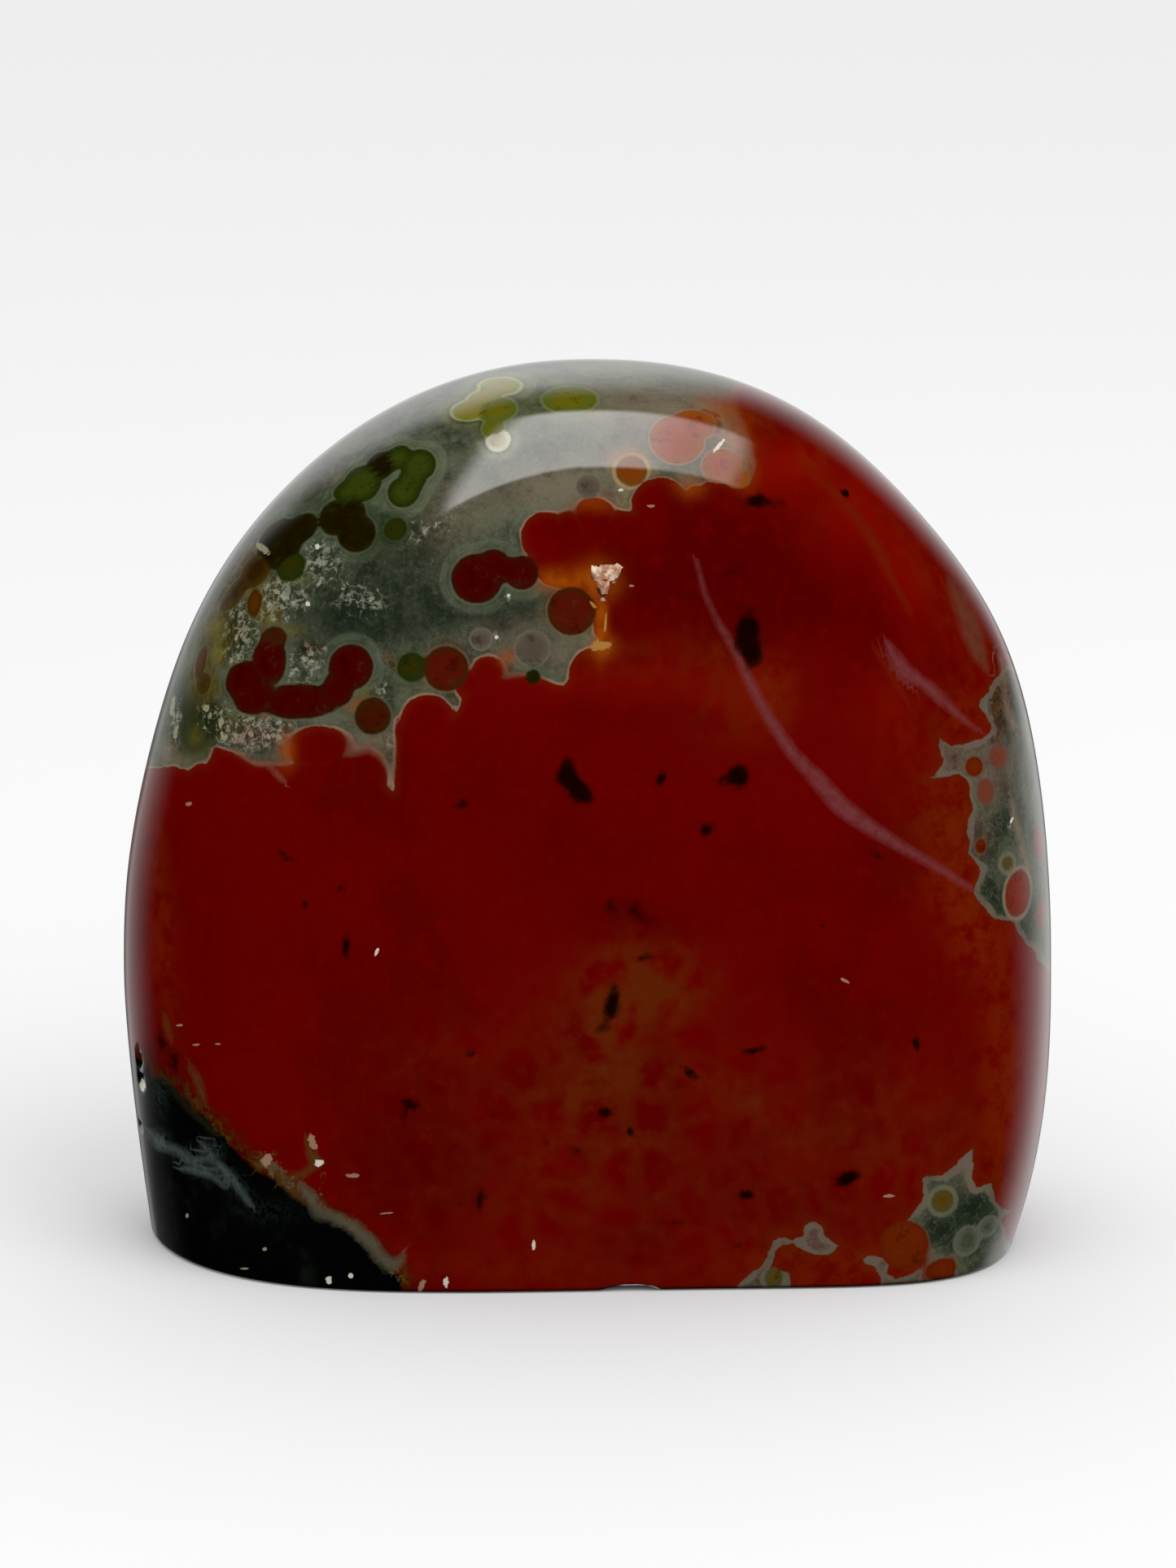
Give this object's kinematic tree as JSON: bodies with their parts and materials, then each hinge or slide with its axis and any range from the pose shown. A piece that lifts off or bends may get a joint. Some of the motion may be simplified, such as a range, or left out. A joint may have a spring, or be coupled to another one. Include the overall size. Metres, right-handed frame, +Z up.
{
  "type": "ocean jasper half moon",
  "caption": "Polished freestanding half moon of orbicular jasper: a dome with rolled edges that stands on a flat ground base.",
  "frame": {"origin": "middle of the stone's width and depth, on the plane of its flat base", "axes": "+X to the right seen from the front, along the width; +Y to the back, through the thickness; +Z up"},
  "size_m": [0.08, 0.038, 0.0758],
  "materials": {
    "jasper": "polished, deep red with grey-green chalcedony, orbs and a small druzy pocket"
  },
  "bodies": {
    "root": {"stone": "jasper"}
  },
  "joints": []
}
